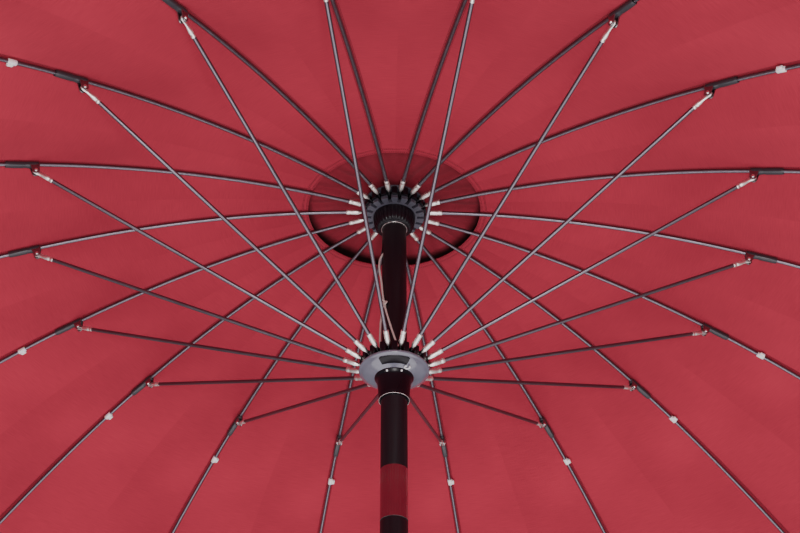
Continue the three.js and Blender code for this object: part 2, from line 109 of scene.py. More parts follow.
# ---------------------------------------------------------------- materials
class Nodes:
    """A short way to write a material's node tree."""

    def __init__(self, name, color, roughness, metallic=0.0, **constants):
        self.material = bpy.data.materials.new(name)
        self.material.use_nodes = True
        self.tree = self.material.node_tree
        self.shader = self.tree.nodes["Principled BSDF"]
        self.set("Base Color", (*color, 1))
        self.set("Roughness", roughness)
        self.set("Metallic", metallic)
        for socket, value in constants.items():
            self.set(socket.replace("_", " "), value)

    def set(self, socket, value):
        self.shader.inputs[socket].default_value = value

    def add(self, kind, inputs=None, **settings):
        node = self.tree.nodes.new(kind)
        for key, value in settings.items():
            setattr(node, key, value)
        for key, value in (inputs or {}).items():
            if isinstance(value, bpy.types.NodeSocket):
                self.tree.links.new(value, node.inputs[key])
            else:
                node.inputs[key].default_value = value
        return node

    def link(self, output, socket):
        self.tree.links.new(output, self.shader.inputs[socket])

    def math(self, operation, a, b=0.0):
        return self.add("ShaderNodeMath", {0: a, 1: b}, operation=operation).outputs[0]

    def times(self, a, b):
        return self.math("MULTIPLY", a, b)

    def wave(self, along, length):
        return self.math("SINE", self.times(along, 2 * math.pi / length))

    def noise(self, scale, detail=3.0, vector=None, rough=0.5):
        inputs = {"Scale": scale, "Detail": detail, "Roughness": rough}
        if vector is not None:
            inputs["Vector"] = vector
        return self.add("ShaderNodeTexNoise", inputs).outputs["Fac"]

    def ramp(self, value, low, high, at=(0.0, 1.0)):
        node = self.add("ShaderNodeMapRange", {"Value": value, "From Min": at[0], "From Max": at[1],
                                               "To Min": low, "To Max": high})
        return node.outputs["Result"]

    def mix(self, factor, a, b):
        node = self.add("ShaderNodeMix", data_type="RGBA")
        for socket, value in ((node.inputs[0], factor), (node.inputs[6], a), (node.inputs[7], b)):
            if isinstance(value, bpy.types.NodeSocket):
                self.tree.links.new(value, socket)
            else:
                socket.default_value = value
        return node.outputs[2]

    def bump(self, height, strength, distance):
        node = self.add("ShaderNodeBump", {"Strength": strength, "Distance": distance, "Height": height})
        self.link(node.outputs["Normal"], "Normal")

    def place(self):
        return self.add("ShaderNodeTexCoord").outputs["Object"]

    def uv(self):
        split = self.add("ShaderNodeSeparateXYZ", {0: self.add("ShaderNodeTexCoord").outputs["UV"]})
        return split.outputs[0], split.outputs[1]

    def tint(self, value, at, color, low, high):
        """Base colour between two shades of one colour, as the value goes from at[0] to at[1]."""
        share = self.ramp(value, 0.0, 1.0, at)
        self.link(self.mix(share, shade(color, low), shade(color, high)), "Base Color")


def shade(color, factor):
    return (*(min(1.0, c * factor) for c in color), 1)


def moulded(name, color, roughness, grain=1.0, coat=0.0, specular=0.5):
    """Moulded plastic: a fine spark-eroded grain, and slightly uneven gloss and tone."""
    m = Nodes(name, color, roughness, Coat_Weight=coat, Coat_Roughness=0.08)
    m.set("Specular IOR Level", specular)
    place = m.place()
    grain_noise = m.noise(1400, 2, place)
    broad = m.noise(22, 4, place)
    m.tint(broad, (0.35, 0.75), color, 0.85, 1.3)
    m.link(m.ramp(broad, roughness * 0.85, roughness * 1.25, (0.3, 0.7)), "Roughness")
    m.bump(grain_noise, 0.12 * grain, 0.0004)
    return m.material


def coated(name, color, roughness):
    """Powder-coated metal: orange peel, and a little lighter where it is rubbed."""
    m = Nodes(name, color, roughness, 0.0, Coat_Weight=0.08, Coat_Roughness=0.25)
    m.set("Specular IOR Level", 0.35)
    place = m.place()
    peel = m.noise(420, 2, place)
    stretched = m.add("ShaderNodeMapping", {"Vector": place, "Scale": (30, 30, 1.5)}).outputs[0]
    rubbed = m.noise(6, 5, stretched)
    m.tint(rubbed, (0.4, 0.75), color, 0.9, 1.35)
    m.link(m.ramp(rubbed, roughness * 0.85, roughness * 1.2, (0.3, 0.7)), "Roughness")
    m.bump(peel, 0.15, 0.0006)
    return m.material


def metal(name, color, roughness, scratch=1.0):
    """Bare or plated metal with drawing lines along the piece and patchy shine."""
    m = Nodes(name, color, roughness, 1.0)
    place = m.place()
    lines = m.add("ShaderNodeMapping", {"Vector": place, "Scale": (40, 2400, 2400)}).outputs[0]
    fine = m.noise(1, 3, lines)
    broad = m.noise(45, 3, place)
    m.tint(broad, (0.35, 0.75), color, 0.93, 1.04)
    m.link(m.ramp(broad, roughness * 0.85, roughness * 1.2, (0.3, 0.7)), "Roughness")
    m.bump(fine, 0.08 * scratch, 0.0003)
    return m.material


def glass_fibre(name, color):
    """Pultruded rod: fine fibre lines along it under a satin resin skin."""
    m = Nodes(name, color, 0.42, 1.0)
    place = m.place()
    lines = m.add("ShaderNodeMapping", {"Vector": place, "Scale": (6, 1800, 1800)}).outputs[0]
    fibre = m.noise(1, 4, lines)
    broad = m.noise(35, 3, place)
    m.tint(fibre, (0.35, 0.7), color, 0.7, 1.45)
    m.link(m.ramp(broad, 0.36, 0.46, (0.3, 0.7)), "Roughness")
    m.bump(fibre, 0.08, 0.0003)
    return m.material


# Cloth coordinates: U is the distance across from the rib's line, V the distance along the rib, in metres.
THREAD = 1.1 * MM
SEAM_STITCH = 4.5 * MM
STITCH_LENGTH = 3.2 * MM


def woven(name, color, stitch_rows, seams=True, painted_shade_beyond=None):
    """Woven polyester with its weave, slubs and faint fading, and lock-stitch rows at given distances
    along the cloth and on each side of the rib seam. Past an optional distance along the cloth it is painted
    nearly black, as painted shade in the narrow gap between the vent cap and the canopy."""
    m = Nodes(name, color, 0.85, 0.0, Sheen_Weight=0.06, Sheen_Roughness=0.4)
    m.set("Specular IOR Level", 0.2)
    u, v = m.uv()
    weave = m.times(m.wave(u, THREAD), m.wave(v, THREAD))
    place = m.place()
    threads = m.add("ShaderNodeCombineXYZ", {0: m.times(u, 9.0), 1: m.times(v, 260.0)})
    slub = m.noise(4, 2, threads.outputs[0])
    broad = m.noise(3.2, 4, place)
    tone = m.math("ADD", m.ramp(slub, -0.25, 0.25, (0.3, 0.7)), m.ramp(broad, 0.1, 0.9, (0.3, 0.7)))
    cloth = m.mix(tone, shade(color, 0.8), shade(color, 1.18))
    # Past that distance the cloth is painted nearly black: painted shade of the narrow gap between the vent cap
    # and the canopy.
    if painted_shade_beyond:
        beyond = m.ramp(v, 0.0, 1.0, (painted_shade_beyond - 8 * MM, painted_shade_beyond + 5 * MM))
        cloth = m.mix(beyond, cloth, shade(color, 0.06))

    def row(distance, at, half):
        away = m.math("ABSOLUTE", m.math("SUBTRACT", distance, at))
        return m.math("LESS_THAN", away, half)

    # Each row is a line of dashes in a slightly sunken groove, also painted darker as painted shade in the
    # groove.
    dash_u, dash_v = (m.math("GREATER_THAN", m.wave(along, STITCH_LENGTH), -0.5) for along in (u, v))
    lines = [(v, at, dash_u) for at in stitch_rows]
    if seams:
        lines.append((m.math("ABSOLUTE", u), SEAM_STITCH, dash_v))
    stitches = shaded_groove = 0.0
    for distance, at, dash in lines:
        stitches = m.math("MAXIMUM", stitches, m.times(row(distance, at, 0.45 * MM), dash))
        shaded_groove = m.math("MAXIMUM", shaded_groove, row(distance, at, 1.3 * MM))
    cloth = m.mix(shaded_groove, cloth, shade(color, 0.38))
    m.link(m.mix(stitches, cloth, shade(color, 1.3)), "Base Color")
    sewn = m.math("SUBTRACT", m.times(stitches, 2.0), shaded_groove)
    height = m.math("ADD", m.times(weave, 0.35), sewn)
    m.bump(m.math("ADD", height, m.times(slub, 0.5)), 0.25, 0.0005)
    return m.material


def braided(name, color):
    """Braided cord: two families of strands crossing round it."""
    m = Nodes(name, color, 0.85, 0.0, Sheen_Weight=0.3)
    u, v = m.uv()
    one = m.math("SINE", m.math("ADD", m.times(u, 25.0), m.times(v, 2600.0)))
    two = m.math("SINE", m.math("SUBTRACT", m.times(u, 25.0), m.times(v, 2600.0)))
    strand = m.times(one, two)
    m.tint(strand, (-1.0, 1.0), color, 0.75, 1.1)
    m.bump(strand, 0.5, 0.0006)
    return m.material


def concrete(name, color):
    m = Nodes(name, color, 0.75)
    place = m.place()
    grain = m.noise(220, 6, place, 0.65)
    broad = m.noise(9, 5, place)
    m.tint(broad, (0.3, 0.75), color, 0.8, 1.35)
    m.link(m.ramp(grain, 0.6, 0.9, (0.3, 0.7)), "Roughness")
    m.bump(grain, 0.4, 0.001)
    return m.material


def translucent_plastic(name, color):
    m = Nodes(name, color, 0.3, 0.0, Coat_Weight=0.3)
    m.set("Subsurface Weight", 0.3)
    m.set("Subsurface Scale", 0.004)
    cloudy = m.noise(300, 2, m.place())
    m.tint(cloudy, (0.3, 0.7), color, 0.85, 1.05)
    return m.material


def plain(name, color):
    """Studio floor: one even tone with a barely visible drift."""
    m = Nodes(name, color, 0.8)
    m.tint(m.noise(0.7, 2, m.place()), (0.3, 0.7), color, 0.98, 1.02)
    return m.material


HEM = 11 * MM
VENT_R = 137 * MM
CLOTH_IN = VENT_R - PIVOT_R
CLOTH_OUT = RIB_SPAN + 6 * MM
RIM_HEM = 22 * MM
VENT_STITCHES = [CLOTH_IN + 2.2 * MM, CLOTH_IN + 9 * MM]
RIM_STITCHES = [CLOTH_OUT - RIM_HEM + 3 * MM, CLOTH_OUT - 3 * MM]
CAP_STITCHES = [185 * MM, 190 * MM]

CRIMSON = (0.37, 0.025, 0.049)
# The vent cap's cloth and its lining are darker copies of the canopy's crimson, as painted shade on the cap,
# deepest on the lining underneath.
SHADED_CAP_CRIMSON = tuple(c * 0.85 for c in CRIMSON)
SHADED_LINING_CRIMSON = tuple(c * 0.6 for c in CRIMSON)
MATERIALS = {
    "rod": glass_fibre("rod_glass_fibre", (0.185, 0.165, 0.195)),
    "nickel": metal("nickel_plate", (0.93, 0.90, 0.86), 0.42, 0.3),
    "eye": metal("eye_metal", (0.025, 0.023, 0.027), 0.4),
    "bracket": moulded("bracket_plastic", (0.035, 0.033, 0.04), 0.3),
    "fork": metal("fork_metal", (0.30, 0.28, 0.29), 0.3),
    "clip": translucent_plastic("clip_plastic", (0.93, 0.87, 0.86)),
    "crown": moulded("crown_plastic", (0.055, 0.052, 0.072), 0.36, coat=0.05),
    "runner": moulded("runner_plastic", (0.14, 0.137, 0.18), 0.2, 0.3, coat=0.55),
    "neck": moulded("neck_plastic", (0.006, 0.004, 0.007), 0.3, 0.3, specular=0.28),
    "pole": coated("pole_powder_coat", (0.008, 0.006, 0.009), 0.45),
    "sleeve": metal("sleeve_polished", (0.36, 0.31, 0.33), 0.08, 0.4),
    "lip": metal("lip_metal", (0.85, 0.8, 0.78), 0.3),
    "cord_end": moulded("cord_hook", (0.85, 0.82, 0.84), 0.25),
    "cord": braided("cord_braid", (0.72, 0.6, 0.56)),
    "cloth": woven("canopy_cloth", CRIMSON, VENT_STITCHES + RIM_STITCHES),
    "cap_cloth": woven("vent_cloth_painted_shade", SHADED_CAP_CRIMSON, CAP_STITCHES),
    "cap_lining": woven("vent_lining_painted_shade", SHADED_LINING_CRIMSON, CAP_STITCHES, seams=False, painted_shade_beyond=140 * MM),
    "plastic": moulded("black_plastic", (0.02, 0.02, 0.022), 0.45),
    "weight": concrete("weight_concrete", (0.05, 0.049, 0.054)),
    "rubber": moulded("foot_rubber", (0.015, 0.015, 0.016), 0.85, 2.0),
    "floor": plain("studio_floor", (0.78, 0.775, 0.77)),
}


# ---------------------------------------------------------------- mesh building
class Shape:
    """Collects the faces of one piece, each with a material, and makes the object."""

    def __init__(self):
        self.points = []
        self.faces = []
        self.slots = []
        self.uvs = {}
        self.names = []

    def slot_of(self, name):
        if name not in self.names:
            self.names.append(name)
        return self.names.index(name)

    def grid(self, rows, material, wrap=False, uv=None):
        """Rows of points, joined row to row; wrap joins the last point of a row to its first."""
        start = len(self.points)
        width = len(rows[0])
        slot = self.slot_of(material)
        for r, row in enumerate(rows):
            for c, point in enumerate(row):
                if uv is not None:
                    self.uvs[len(self.points)] = uv[r][c]
                self.points.append(Vector(point))
        for r in range(len(rows) - 1):
            for c in range(width if wrap else width - 1):
                a = start + r * width + c
                b = start + r * width + (c + 1) % width
                self.faces.append((a, b, b + width, a + width))
                self.slots.append(slot)

    def disc(self, ring, material, flip=False):
        start = len(self.points)
        self.points += [Vector(point) for point in ring]
        face = tuple(range(start, start + len(ring)))
        self.faces.append(face[::-1] if flip else face)
        self.slots.append(self.slot_of(material))

    def hull_rows(self, rows, material, uv=None):
        """A closed skin of wrapped rows with flat ends."""
        self.grid(rows, material, wrap=True, uv=uv)
        self.disc(rows[0], material, flip=True)
        self.disc(rows[-1], material)

    def tube(self, centres, radii, material, sides=20, side=Vector((0, 1, 0))):
        """A round skin along centre points, whose first point round lies towards the side direction."""
        rows = []
        for k, centre in enumerate(centres):
            ahead = Vector(centres[min(k + 1, len(centres) - 1)]) - Vector(centres[max(k - 1, 0)])
            tangent = ahead.normalized()
            up = tangent.cross(side).normalized()
            across = up.cross(tangent).normalized()
            row = []
            for s in range(sides):
                angle = 2 * math.pi * s / sides
                offset = across * math.cos(angle) + up * math.sin(angle)
                row.append(Vector(centre) + offset * radii[k])
            rows.append(row)
        self.hull_rows(rows, material)

    def make(self, name, smooth=40, bevel=0.0, solid_normals=True):
        # Points that lie in one place become one, so that neighbouring skins close on each other.
        found, points, index = {}, [], []
        for point in self.points:
            key = tuple(round(c * 2e6) for c in point)
            if key not in found:
                found[key] = len(points)
                points.append(point)
            index.append(found[key])
        faces, slots, corners = [], [], []
        for face, slot_number in zip(self.faces, self.slots):
            kept = [v for k, v in enumerate(face) if index[v] != index[face[k - 1]]]
            if len({index[v] for v in kept}) > 2:
                faces.append([index[v] for v in kept])
                slots.append(slot_number)
                corners += kept
        mesh = bpy.data.meshes.new(name)
        mesh.from_pydata(points, [], faces)
        mesh.polygons.foreach_set("material_index", slots)
        for material in self.names:
            mesh.materials.append(MATERIALS[material])
        if self.uvs:
            layer = mesh.uv_layers.new(name="UVMap")
            for loop, corner in zip(layer.data, corners):
                loop.uv = self.uvs.get(corner, (0, 0))
        if solid_normals:
            build = bmesh.new()
            build.from_mesh(mesh)
            bmesh.ops.recalc_face_normals(build, faces=build.faces)
            build.to_mesh(mesh)
            build.free()
        mesh.polygons.foreach_set("use_smooth", [True] * len(mesh.polygons))
        mesh.set_sharp_from_angle(angle=math.radians(smooth))
        piece = bpy.data.objects.new(name, mesh)
        bpy.context.scene.collection.objects.link(piece)
        if bevel:
            edge = piece.modifiers.new("edge", "BEVEL")
            edge.width = bevel
            edge.segments = 3
            edge.limit_method = "ANGLE"
            edge.angle_limit = math.radians(40)
            edge.harden_normals = True
        return piece


def settle(piece, body, node=None):
    """Says which body a piece rides on, and the CAD node that it replaces."""
    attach(piece, body)
    if node:
        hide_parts(node)


def turned(shape, profile, material, sides=96, flute=None, base=0.0):
    """A turned skin about Z from [radius, height] points in millimetres, with heights counted from base;
    flute(angle, k) scales the radius of point k."""
    rows = []
    for k, (radius, height) in enumerate(profile):
        row = []
        for s in range(sides):
            angle = 2 * math.pi * s / sides
            r = radius * MM * (flute(angle, k) if flute else 1)
            row.append((r * math.cos(angle), r * math.sin(angle), (base + height) * MM))
        rows.append(row)
    shape.grid(rows + [rows[0]], material, wrap=True)


def turned_piece(name, profile, material, node, sides, bevel=0.5 * MM, body="root"):
    shape = Shape()
    turned(shape, profile, material, sides)
    settle(shape.make(name, smooth=26, bevel=bevel), body, node)


def arc(x, y, radius, start, sweep, steps):
    """Points of an arc about (x, y), from the start angle through a sweep."""
    angles = [start + sweep * k / steps for k in range(steps + 1)]
    return [(x + radius * math.cos(angle), y + radius * math.sin(angle)) for angle in angles]


def pole_point(radius, degrees, height):
    """A point beside the pole, from millimetres."""
    angle = math.radians(degrees)
    return Vector((radius * math.cos(angle), radius * math.sin(angle), height)) * MM


def axle(shape, start, end, radius, material, sides=20, end_radius=None):
    """A straight round bar between two points."""
    start, end = Vector(start), Vector(end)
    direction = (end - start).normalized()
    side = Vector((0, 1, 0)) if abs(direction.y) < 0.9 else Vector((1, 0, 0))
    shape.tube([start, end], [radius, end_radius or radius], material, sides, side)


def cubic(points, count):
    """Points along a Catmull-Rom curve through the given points."""
    route = [Vector(p) for p in points]
    route = [route[0] * 2 - route[1]] + route + [route[-1] * 2 - route[-2]]
    made = []
    spans = len(route) - 3
    for i in range(count + 1):
        t = spans * i / count
        k = min(int(t), spans - 1)
        f = t - k
        a, b, c, d = route[k:k + 4]
        made.append(0.5 * ((2 * b) + (c - a) * f + (2 * a - 5 * b + 4 * c - d) * f ** 2
                           + (3 * b - a - 3 * c + d) * f ** 3))
    return made


def copied(source, name, matrix, body, node):
    """Another object with the same mesh and edges, placed and riding on its body."""
    piece = bpy.data.objects.new(name, source.data)
    bpy.context.scene.collection.objects.link(piece)
    for modifier in source.modifiers:
        twin = piece.modifiers.new(modifier.name, modifier.type)
        for field in ("width", "segments", "limit_method", "angle_limit", "harden_normals"):
            setattr(twin, field, getattr(modifier, field))
    piece.matrix_world = matrix
    settle(piece, body, node)
    return piece


# ---------------------------------------------------------------- camera, light and floor
CAMERA_AT = Vector((-0.0188, -1.6561, 0.8474))
PITCH = math.radians(39.01)
YAW = math.radians(0.96)
ROLL = math.radians(-0.15)
FLOOR_REACH = 9


def add_camera():
    ahead = Vector((math.sin(YAW) * math.cos(PITCH), math.cos(YAW) * math.cos(PITCH), math.sin(PITCH)))
    level = Vector((math.cos(YAW), -math.sin(YAW), 0))
    above = level.cross(ahead)
    right = level * math.cos(ROLL) + above * math.sin(ROLL)
    up = above * math.cos(ROLL) - level * math.sin(ROLL)
    data = bpy.data.cameras.new("camera")
    data.lens = 62.08
    data.sensor_width = 36
    data.clip_start = 0.05
    camera = bpy.data.objects.new("camera", data)
    camera.matrix_world = Matrix((
        (right.x, up.x, -ahead.x, CAMERA_AT.x),
        (right.y, up.y, -ahead.y, CAMERA_AT.y),
        (right.z, up.z, -ahead.z, CAMERA_AT.z),
        (0, 0, 0, 1)))
    bpy.context.scene.collection.objects.link(camera)
    bpy.context.scene.camera = camera


def add_light(name, place, target, size, power, color=(1, 1, 1)):
    data = bpy.data.lights.new(name, "AREA")
    data.shape = "DISK"
    data.size = size
    data.energy = power
    data.color = color
    light = bpy.data.objects.new(name, data)
    light.location = place
    light.rotation_euler = (Vector(target) - Vector(place)).to_track_quat("-Z", "Y").to_euler()
    bpy.context.scene.collection.objects.link(light)


def add_stage():
    floor = Shape()
    edges = (-FLOOR_REACH, 0, FLOOR_REACH)
    floor.grid([[(x, y, 0) for x in edges] for y in edges], "floor")
    floor.make("floor", solid_normals=False)
    world = bpy.data.worlds.new("studio")
    world.use_nodes = True
    background = world.node_tree.nodes["Background"].inputs
    background["Color"].default_value = (0.97, 0.97, 1.0, 1)
    background["Strength"].default_value = 0.17
    bpy.context.scene.world = world
    add_light("key", (0.08, -1.98, 0.72), (0, 0.1, 2.2), 0.5, 27, (1.0, 0.98, 0.98))
    add_light("panel", (0, 0.1, 0.02), (0, 0.1, 2.2), 3.2, 56, (1.0, 0.97, 1.0))
    add_light("top", (0.6, 0.8, 4.2), (0, 0, 2.3), 2.2, 110)


# ---------------------------------------------------------------- ribs and struts
def ring_rows(stations, sides=28, power=2.0, start=0.0):
    """Rows round the local X axis, from stations of x, centre z, half width in Y and half height in Z in
    millimetres, with x counted from start."""
    rows = []
    for x, z, wide, high in stations:
        wide, high = wide * MM, high * MM
        row = []
        for s in range(sides):
            angle = 2 * math.pi * s / sides
            c, n = math.cos(angle), math.sin(angle)
            y = math.copysign(abs(c) ** (2 / power), c) * wide
            rise = math.copysign(abs(n) ** (2 / power), n) * high
            row.append((start + x * MM, y, z * MM + rise))
        rows.append(row)
    return rows


EYE_R = 4.6
EYE_HALF = 2.2
BARREL_R = 4.0
BARREL_END = 32.5


def eye_end(shape):
    """A flattened metal eye round the origin, and the crimped ferrule that grips the rod beyond it."""
    eye = []
    for k in range(9):
        x = -EYE_R * math.cos(math.pi / 2 * k / 8)
        eye.append((x, EYE_HALF, max(math.sqrt(max(EYE_R ** 2 - x ** 2, 0)), 0.35)))
    blade = eye + [(3, EYE_HALF, EYE_R * 0.9), (6, EYE_HALF * 0.9, EYE_R * 0.7),
                   (9, EYE_HALF * 0.7, EYE_R * 0.4)]
    throat = BARREL_R * 0.95
    ferrule = [(5.6, 0.5, 0.8), (6.4, 1.3, 1.7), (8.5, 2.0, 2.5), (11, 2.9, 3.3), (13, BARREL_R * 0.93, throat),
               (14.2, BARREL_R, BARREL_R), (24.5, BARREL_R, BARREL_R), (25.2, throat, throat),
               (27.2, throat, throat), (27.9, BARREL_R, BARREL_R),
               (BARREL_END - 0.8, BARREL_R, BARREL_R), (BARREL_END, BARREL_R * 0.85, BARREL_R * 0.85)]
    for stations, material in ((blade, "eye"), (ferrule, "nickel")):
        shape.hull_rows(ring_rows([(x, 0, w, h) for x, w, h in stations]), material)
    for side in (-1, 1):
        axle(shape, (0, side * (EYE_HALF - 0.2) * MM, 0), (0, side * (EYE_HALF + 0.35) * MM, 0), 2.1 * MM,
             "eye", 16)


PIN_DROP = 13 * MM
CLIP_X = 612 * MM
ROD_FROM = 24 * MM
ROD_STEPS = 110


def rib_seat(x):
    """Where a fitting sits on the rib: origin on the rod's centre line, X along the rod."""
    tilt = math.atan(rib_slope(x))
    return Matrix.Translation((x, 0, rib_height(x))) @ Matrix.Rotation(-tilt, 4, "Y")


def placed(matrix, rows):
    return [[matrix @ Vector(p) for p in row] for row in rows]


def rib_shape():
    shape = Shape()
    eye_end(shape)
    curve = []
    for k in range(ROD_STEPS + 1):
        x = ROD_FROM + (RIB_SPAN - ROD_FROM) * k / ROD_STEPS
        curve.append((x, 0, rib_height(x)))
    shape.tube(curve, [ROD_R] * len(curve), "rod", 18)

    # Moulded sleeve with a flat belly, its open mouth towards the canopy's edge, and its back end.
    bend = rib_seat(JOINT_X)
    sleeve = [(-7, -0.6, 3.4, 3.2), (-6.2, -0.8, 4.3, 3.8), (-2, -1.0, 4.7, 3.9), (8, -1.1, 4.8, 3.9),
              (12, -1.0, 4.3, 3.6), (14, -0.9, 4.3, 3.5), (17, -1.0, 4.7, 3.9), (36, -0.9, 4.6, 3.8),
              (40.5, -0.8, 4.5, 3.6), (42, -0.8, 4.1, 3.3)]
    # The mouth's ring round the rod takes the darker neck plastic, as painted shade inside the opening.
    mouth = [(42, -0.8, 4.1, 3.3), (41.6, -0.4, 2.9, 2.7), (36, -0.4, 2.8, 2.6)]
    back = [(-7, -0.6, 3.4, 3.2), (-7.2, -0.5, 2.6, 2.6)]
    for stations, power, material in ((sleeve, 3.2, "bracket"), (mouth, 2.6, "neck"), (back, 3.2, "bracket")):
        shape.grid(placed(bend, ring_rows(stations, 36, power)), material, wrap=True)

    # Stamped fork with two cheeks, its pin, and the pin's heads.
    cheek = arc(0, -13, 5.3, math.pi, math.pi, 14)
    cheek += [(6.2, -6), (9, -2.0), (9, 0.5), (-7, 0.5), (-7, -2.5), (-5.6, -6)]
    for side in (-1, 1):
        low, high = sorted((side * 2.7, side * 4.3))
        rows = [[Vector((x, y, z)) * MM for x, z in cheek] for y in (low, high)]
        shape.hull_rows(placed(bend, rows), "fork")
        for inner, outer, radius in ((4.2, 4.9, 2.9), (4.9, 5.6, 2.3)):
            start = bend @ Vector((0, side * inner * MM, -PIN_DROP))
            end = bend @ Vector((0, side * outer * MM, -PIN_DROP))
            axle(shape, start, end, radius * MM, "lip", 24, radius * 0.86 * MM)
    axle(shape, bend @ Vector((0, -4.6 * MM, -PIN_DROP)), bend @ Vector((0, 4.6 * MM, -PIN_DROP)),
         1.5 * MM, "lip", 16)

    # Clear clip that holds the cloth's tape to the rib, with a lobe on one side.
    for lobe, start, end, wide, high, across in ((0, -6.5, 6.5, 4.0, 3.7, 0), (1, -3.6, 4.6, 3.6, 2.6, -4.4)):
        ends = [(start, 0.86), (start + 0.7, 1.0), (end - 0.7, 1.0), (end, 0.86)]
        rows = ring_rows([(x, -0.5, wide * s, high * s) for x, s in ends], 28, 2.4)
        shift = Vector((0, across * MM, -0.8 * MM * lobe))
        rows = [[Vector(p) + shift for p in row] for row in rows]
        shape.hull_rows(placed(rib_seat(CLIP_X), rows), "clip")

    # Moulded tip at the rod's end.
    tip = [(-26, 2.7), (-25.4, 3.4), (-6, 3.5), (-3, 3.9), (-1, 3.9), (0.6, 3.0), (1.2, 1.2)]
    rows = ring_rows([(x, 0, r, r) for x, r in tip], 20)
    shape.hull_rows(placed(rib_seat(RIB_SPAN), rows), "plastic")
    return shape


STRUT_RISE = PIN_Z - RUNNER_Z
STRUT_LENGTH = math.hypot(PIN_R - PIVOT_R, STRUT_RISE)
STRUT_TILT = math.atan2(STRUT_RISE, PIN_R - PIVOT_R)


def strut_shape():
    shape = Shape()
    eye_end(shape)
    centres = [(x, 0, 0) for x in (ROD_FROM, STRUT_LENGTH / 2, STRUT_LENGTH - 16 * MM)]
    shape.tube(centres, [ROD_R] * 3, "rod", 18)
    stations = [(-28, 3.1, 3.1), (-27.2, 3.5, 3.5), (-24.5, 3.5, 3.5), (-23.8, 3.0, 3.0), (-22.4, 3.0, 3.0),
                (-21.6, 3.5, 3.5), (-18, 3.4, 3.5), (-15, 2.7, 3.7), (-11, 2.2, 3.2), (-6.5, 2.1, 3.4),
                (-4, 2.1, 4.2), (-2, 2.1, 4.6), (0, 2.1, 4.7), (2, 2.1, 4.2), (3.6, 2.0, 2.9), (4.6, 1.8, 0.5)]
    shape.hull_rows(ring_rows([(x, 0, w, h) for x, w, h in stations], start=STRUT_LENGTH), "nickel")
    return shape


def add_spokes():
    rib = rib_shape().make("rib_pattern", smooth=50)
    strut = strut_shape().make("strut_pattern", smooth=50)
    for i in range(RIBS):
        label = f"{i + 1:02d}"
        turn = Matrix.Rotation(rib_angle(i), 4, "Z")
        copied(rib, f"fine_rib_{label}", turn @ Matrix.Translation((PIVOT_R, 0, CROWN_Z)),
               f"rib_{label}", f"rib_{label}")
        tilt = Matrix.Translation((PIVOT_R, 0, RUNNER_Z)) @ Matrix.Rotation(-STRUT_TILT, 4, "Y")
        copied(strut, f"fine_strut_{label}", turn @ tilt, f"strut_{label}", f"strut_{label}")
    bpy.data.objects.remove(rib)
    bpy.data.objects.remove(strut)


# ---------------------------------------------------------------- canopy
CLOTH_LIFT = 3.2 * MM
RIM_LIFT = 4.6 * MM
RIM_LIFT_FROM = 0.43
RIM_LIFT_SPAN = 0.5
CLOTH_THICK = 0.6 * MM
HOLLOW = 0.011
RIM_SCALLOP = 15 * MM
SCALLOP_SPAN = 0.25
VENT_EASE = 40 * MM
WELT = 5.6 * MM


def cloth_point(t, x, lift):
    """A point of the cloth in the rib's frame round the pole: t is 0 at the rib and 1 or -1 half way to the
    next one, x the distance along the rib, lift the height above the rib's line."""
    tilt = math.atan(rib_slope(x))
    share = abs(t) / 2
    hollow = math.sin(math.pi * share)
    out = PIVOT_R + x - lift * math.sin(tilt)
    height = CROWN_Z + rib_height(x) + lift * math.cos(tilt)
    drawn = math.exp(-(x - CLOTH_IN) / VENT_EASE)
    sag = HOLLOW * out * hollow * (1 - drawn)
    flat_x = out * (1 - share) + out * math.cos(2 * HALF_GORE) * share
    flat_y = out * math.sin(2 * HALF_GORE) * share
    round_out = 1 + (out / math.hypot(flat_x, flat_y) - 1) * drawn
    flat_x *= round_out
    flat_y *= round_out
    return Vector((flat_x + sag * math.sin(tilt), math.copysign(flat_y, t), height - sag * math.cos(tilt)))


